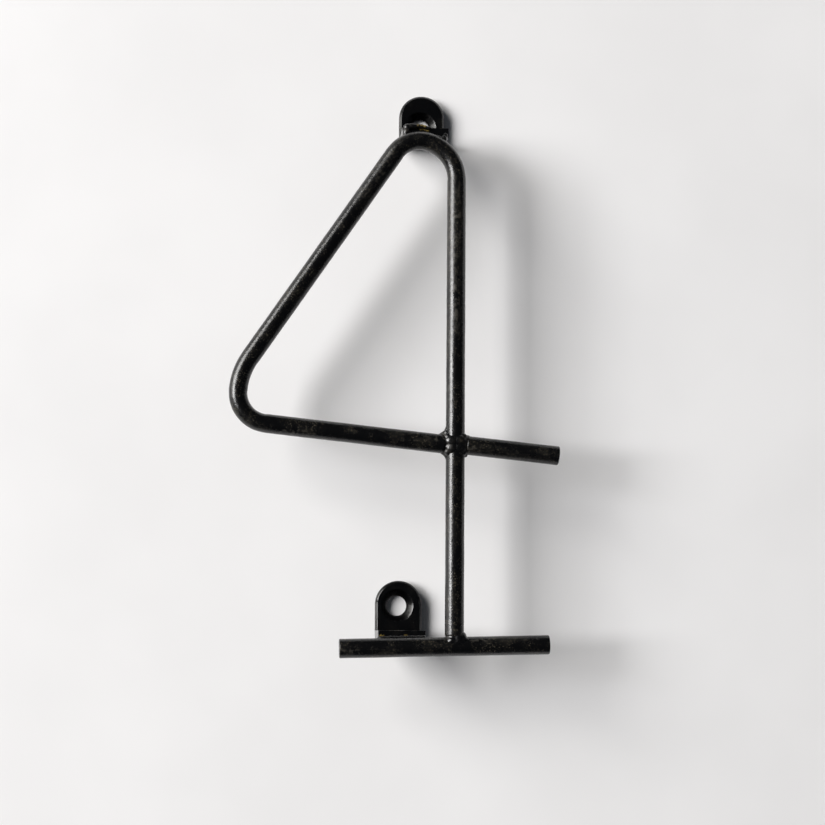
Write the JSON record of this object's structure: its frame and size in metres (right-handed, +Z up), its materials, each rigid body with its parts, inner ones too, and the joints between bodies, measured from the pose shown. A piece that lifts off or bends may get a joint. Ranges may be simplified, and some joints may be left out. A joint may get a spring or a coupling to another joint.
{
  "type": "house number",
  "caption": "Wall-mounted numeral 4 bent and welded from round steel bar, held off the wall by two small L brackets with countersunk screw holes.",
  "frame": {"origin": "on the axis of the upper screw hole, where it meets the wall", "axes": "-Y away from the wall, towards the viewer; +Z up; +X to the viewer's right"},
  "size_m": [0.1036, 0.0243, 0.1835],
  "materials": {
    "blackened_bar": "semi-gloss black over mottled mill scale",
    "blackened_flat": "satin black with bare ground edges",
    "weld_metal": "rippled weld under thin black, with heat tint"
  },
  "bodies": {
    "root": {"numeral_bar": "blackened_bar", "crossbar_stub": "blackened_bar", "foot_bar": "blackened_bar", "upper_bracket": "blackened_flat", "lower_bracket": "blackened_flat", "crossbar_upper_weld": "weld_metal", "crossbar_lower_weld": "weld_metal", "stub_upper_weld": "weld_metal", "stub_lower_weld": "weld_metal", "foot_weld": "weld_metal", "upper_bracket_weld": "weld_metal", "lower_bracket_weld": "weld_metal"}
  },
  "joints": []
}
